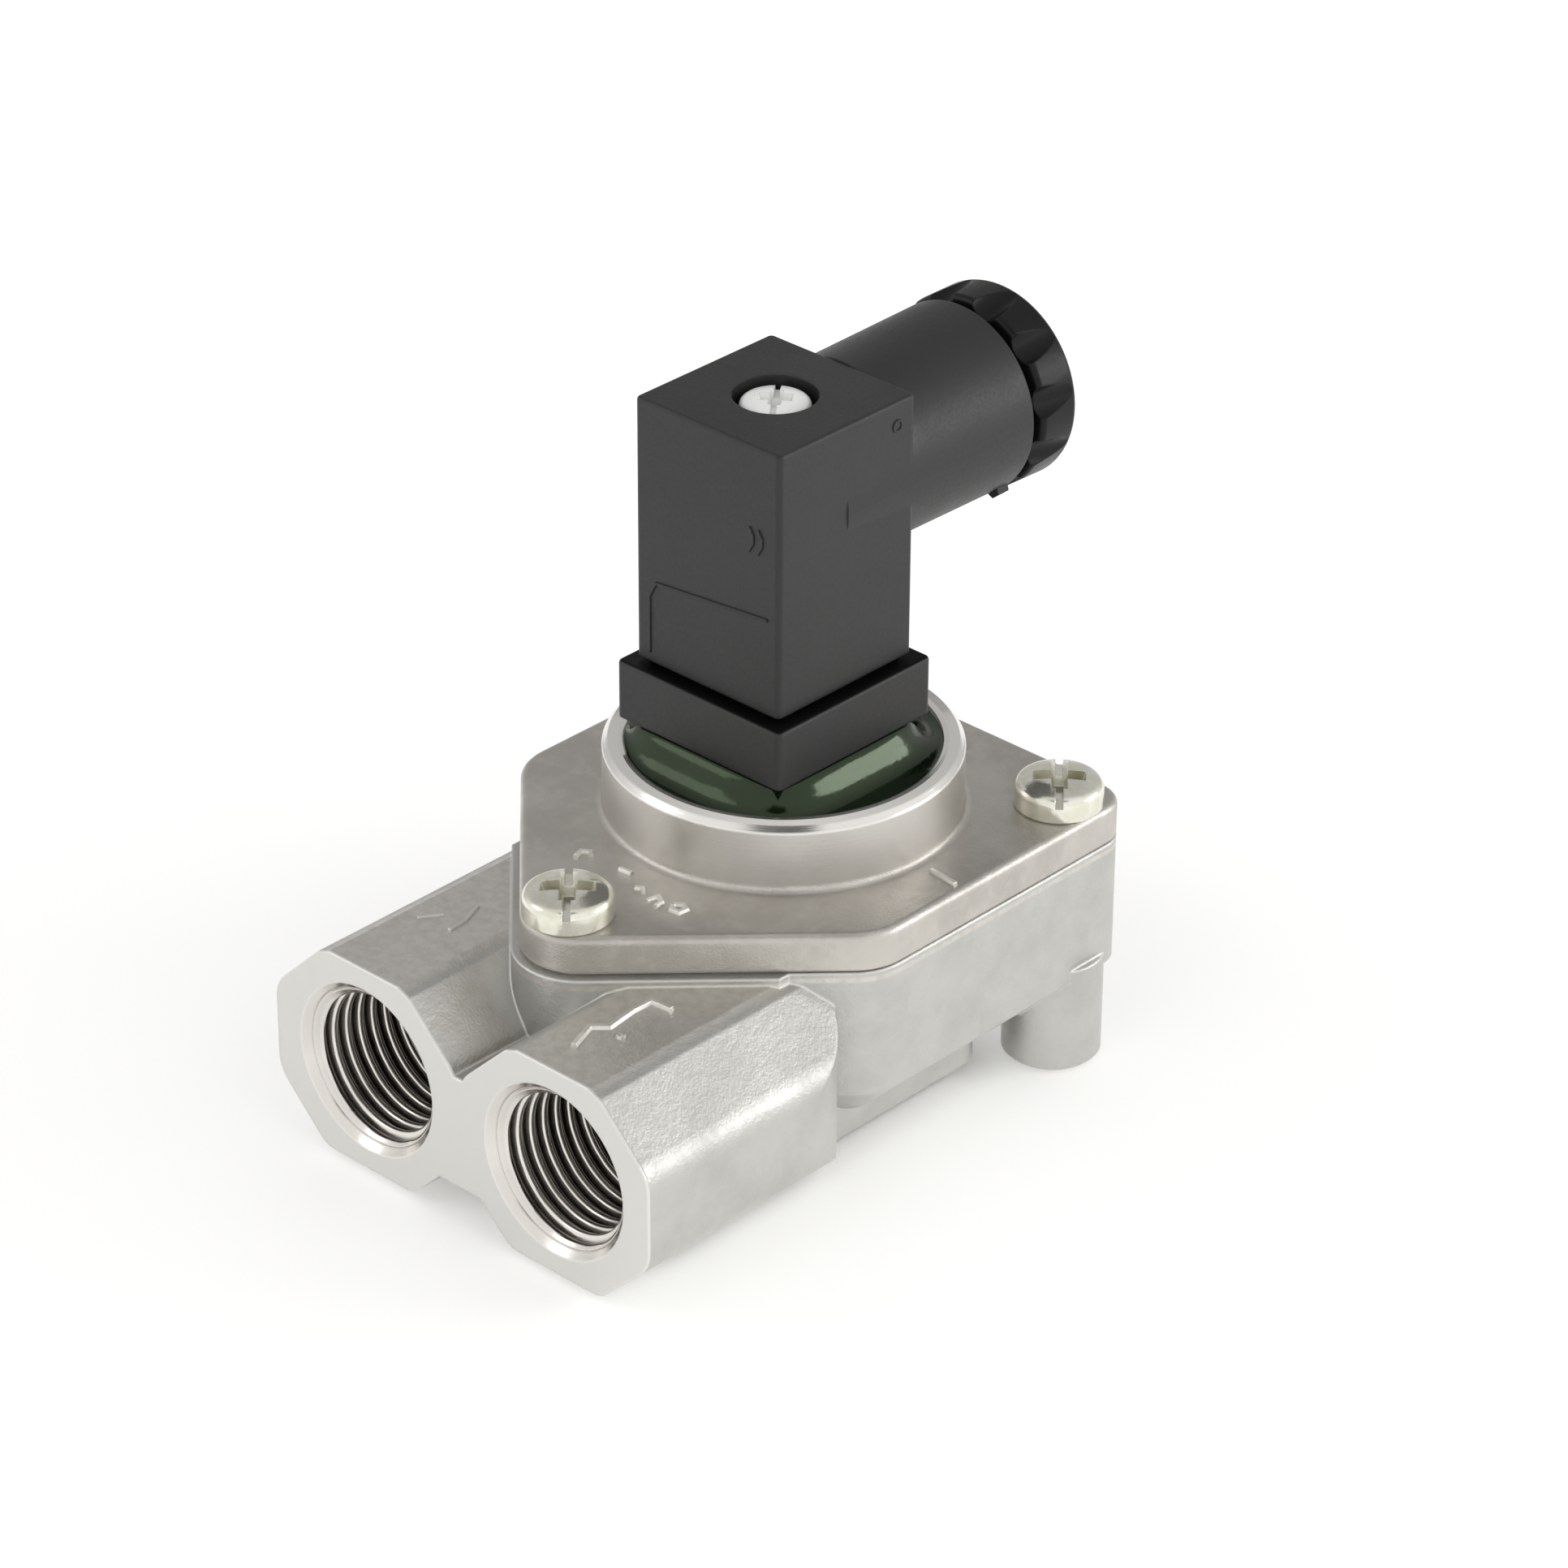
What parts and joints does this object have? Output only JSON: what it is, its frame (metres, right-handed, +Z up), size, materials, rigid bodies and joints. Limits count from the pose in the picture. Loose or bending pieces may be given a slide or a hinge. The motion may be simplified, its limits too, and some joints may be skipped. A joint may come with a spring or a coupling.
{
  "type": "solenoid valve",
  "caption": "Small two-port solenoid valve: cast body with threaded ports side by side, potted coil in a round collar, and a square plug with a cable gland.",
  "frame": {"origin": "centre of the flat base under the collar's axis", "axes": "+Z up along the collar's and the plunger's axis; the ports open towards -Y and the cable gland towards +Y; +X is the outlet port's side"},
  "size_m": [0.0396, 0.0603, 0.0574],
  "materials": {
    "cast_metal": "satin cast, nickel plated",
    "zinc_steel": "zinc plated, slightly yellow",
    "black_plastic": "matt moulded",
    "resin": "glossy dark green",
    "stainless": "turned stainless steel",
    "soft_iron": "zinc plated iron",
    "nylon": "natural glass-filled nylon",
    "copper": "enamelled copper wire",
    "brass": "bright",
    "black_rubber": "matt"
  },
  "bodies": {
    "housing": {"valve_body": "cast_metal", "cover": "cast_metal", "cover_screws": "zinc_steel", "body_seal": "black_rubber", "guide_tube": "stainless", "fixed_core": "stainless", "seat_insert": "stainless", "return_spring": "stainless", "lower_yoke_plate": "soft_iron", "upper_yoke_plate": "soft_iron", "yoke_ring": "soft_iron", "coil_bobbin": "nylon", "coil_winding": "copper", "coil_leads": "copper", "potting_resin": "resin", "contact_pins": "brass", "connector_base": "black_plastic", "base_nut": "brass", "plug_gasket": "black_rubber"},
    "plunger": {"plunger": "stainless", "plunger_seal": "black_rubber"},
    "plug": {"plug_housing": "black_plastic", "terminal_carrier": "black_plastic", "contact_sockets": "brass", "terminal_screws": "zinc_steel", "cable_grommet": "black_rubber"},
    "plug_screw": {"plug_screw": "zinc_steel", "screw_seal": "black_rubber"},
    "gland_ring": {"gland_washer": "stainless"},
    "gland_nut": {"gland_nut": "black_plastic"}
  },
  "joints": [
    {"name": "plunger_lift", "type": "slide", "parent": "housing", "child": "plunger", "axis": [0, 0, 1], "range_m": [0, 0.001], "stiffness_N_per_m": 400, "springref_m": -0.002, "deforming": ["return_spring"]},
    {"name": "plug_pull", "type": "slide", "parent": "housing", "child": "plug", "axis": [0, 0, 1], "range_m": [0, 0.012]},
    {"name": "plug_screw_turn", "type": "hinge", "parent": "plug", "child": "plug_screw", "pos_m": [-0.00065, -0.00045, 0.055], "axis": [0, 0, 1], "continuous": true},
    {"name": "gland_nut_travel", "type": "slide", "parent": "plug", "child": "gland_ring", "axis": [0, 1, 0], "range_m": [0, 0.003]},
    {"name": "gland_nut_turn", "type": "hinge", "parent": "gland_ring", "child": "gland_nut", "pos_m": [-0.00065, 0.023, 0.0494], "axis": [0, 1, 0], "range_deg": [0, 720]}
  ],
  "couplings": [
    {"joint": "gland_nut_turn", "follows": "gland_nut_travel", "rad_per_m": 4188.8}
  ]
}
